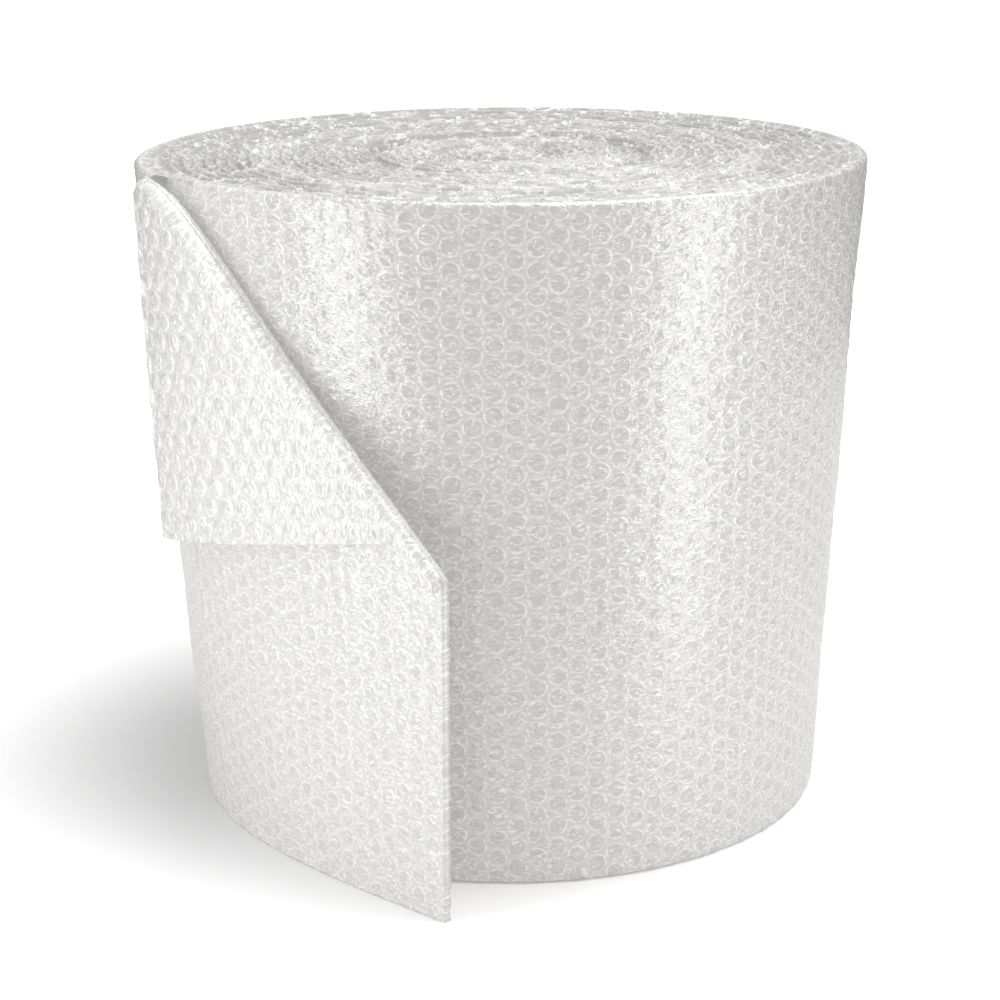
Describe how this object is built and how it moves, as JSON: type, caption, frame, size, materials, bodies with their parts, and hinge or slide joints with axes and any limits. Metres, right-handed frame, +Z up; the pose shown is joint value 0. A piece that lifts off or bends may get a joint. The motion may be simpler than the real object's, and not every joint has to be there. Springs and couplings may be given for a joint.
{
  "type": "bubble film roll",
  "caption": "Coreless roll of air bubble cushioning film standing on end, with a free tail and a corner of the sheet folded down.",
  "frame": {"origin": "centre of the round foot that the roll stands on", "axes": "+Z up along the roll's axis, -Y towards the viewer, who sees the cut end of the tail at the front and the folded corner at the left (-X)"},
  "size_m": [0.3367, 0.3583, 0.305],
  "materials": {
    "film": "clear, milky where layers lie over each other"
  },
  "bodies": {
    "root": {"bubble_film_roll": "film"}
  },
  "joints": []
}
